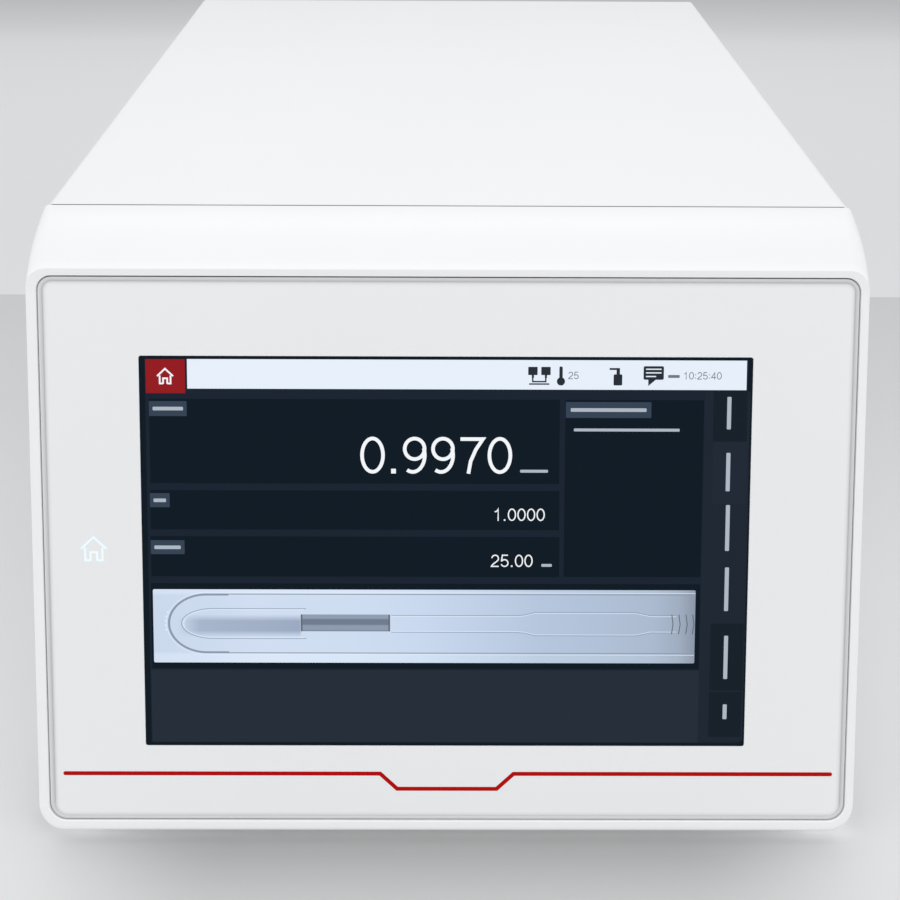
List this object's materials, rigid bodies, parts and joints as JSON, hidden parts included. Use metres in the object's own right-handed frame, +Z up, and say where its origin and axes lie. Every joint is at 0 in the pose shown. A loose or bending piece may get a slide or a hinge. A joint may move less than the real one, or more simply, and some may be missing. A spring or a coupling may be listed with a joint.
{
  "type": "benchtop density meter",
  "caption": "White benchtop density meter with a leaning touch-screen front, a side filling niche, a glass U-tube cell inside and a vented rear with fan and sockets.",
  "frame": {"origin": "on the table under the middle of the casing's bounding box", "axes": "+X to the right seen from the front, +Y to the rear, +Z up"},
  "size_m": [0.347, 0.526, 0.23],
  "materials": {
    "casing": "fine-textured white powder coat",
    "bezel": "satin white moulding",
    "panel": "satin pale grey-white foil",
    "seal": "dark matte rubber",
    "screen_glass": "black glass over a lit screen",
    "sheet_metal": "grey coated sheet",
    "screw_steel": "zinc-plated",
    "circuit_board": "green solder mask",
    "light_guide": "clear frosted",
    "foot_rubber": "matte rubber",
    "niche_plastic": "fine-grained dark grey",
    "bare_aluminium": "milled",
    "adapter_plastic": "white fluoroplastic",
    "nozzle_steel": "turned stainless",
    "cell_glass": "clear borosilicate",
    "magnet_steel": "nickel-plated",
    "coil_copper": "enamelled copper",
    "peltier_ceramic": "white ceramic",
    "foam": "closed-cell foam",
    "black_plastic": "moulded black",
    "hose": "translucent silicone",
    "cartridge_plastic": "blue-grey moulding",
    "brass_standoff": "turned",
    "socket_steel": "tinned shell",
    "rocker_plastic": "polished black",
    "fan_plastic": "moulded dark",
    "cable_jacket": "grey jacket"
  },
  "bodies": {
    "housing": {"top_cover": "casing", "front_bezel": "bezel", "front_panel": "panel", "panel_seal": "seal", "touch_glass": "screen_glass", "screen_module": "sheet_metal", "screen_bracket": "sheet_metal", "screen_screws": "screw_steel", "screen_board": "circuit_board", "key_sensor": "circuit_board", "key_light_guide": "light_guide", "base_tray": "sheet_metal", "rear_panel": "sheet_metal", "bulkhead": "sheet_metal", "foot_front_left": "foot_rubber", "foot_front_right": "foot_rubber", "foot_rear_left": "foot_rubber", "foot_rear_right": "foot_rubber", "foot_screws": "screw_steel", "cover_screws": "screw_steel", "bezel_screws": "screw_steel", "port_tray": "niche_plastic", "port_block": "bare_aluminium", "inlet_adapter": "adapter_plastic", "outlet_adapter": "adapter_plastic", "adapter_seals": "seal", "air_nozzle": "nozzle_steel", "u_tube": "cell_glass", "cell_jacket": "cell_glass", "tube_magnet": "magnet_steel", "drive_coils": "coil_copper", "cell_block_front": "bare_aluminium", "cell_block_rear": "bare_aluminium", "block_screws": "screw_steel", "peltier_elements": "peltier_ceramic", "heat_sink": "bare_aluminium", "cell_posts": "bare_aluminium", "cell_insulation": "foam", "temperature_probe": "nozzle_steel", "cell_window": "cell_glass", "cell_lamp": "circuit_board", "cell_camera": "black_plastic", "camera_bracket": "sheet_metal", "air_pump": "black_plastic", "pump_hose": "hose", "cartridge_holder": "black_plastic", "dryer_hose": "hose", "power_supply": "sheet_metal", "main_board": "circuit_board", "board_standoffs": "brass_standoff", "usb_socket": "socket_steel", "network_socket": "socket_steel", "mains_inlet": "black_plastic", "fan_frame": "black_plastic", "fan_guard": "screw_steel", "display_cable": "cable_jacket"},
    "rotor": {"fan_rotor": "fan_plastic"},
    "rocker": {"mains_rocker": "rocker_plastic"},
    "fuse_tray": {"fuse_drawer": "black_plastic"},
    "cartridge": {"drying_cartridge": "cartridge_plastic"}
  },
  "joints": [
    {"name": "fan_spin", "type": "hinge", "parent": "housing", "child": "rotor", "pos_m": [0.05, 0.24, 0.15], "axis": [0, 1, 0], "continuous": true},
    {"name": "rocker_tilt", "type": "hinge", "parent": "housing", "child": "rocker", "pos_m": [0.14, 0.251, 0.111], "axis": [-1, 0, 0], "range_deg": [0, 20]},
    {"name": "fuse_slide", "type": "slide", "parent": "housing", "child": "fuse_tray", "axis": [0, 1, 0], "range_m": [0, 0.018]},
    {"name": "cartridge_slide", "type": "slide", "parent": "housing", "child": "cartridge", "axis": [0, 1, 0], "range_m": [0, 0.11]}
  ]
}
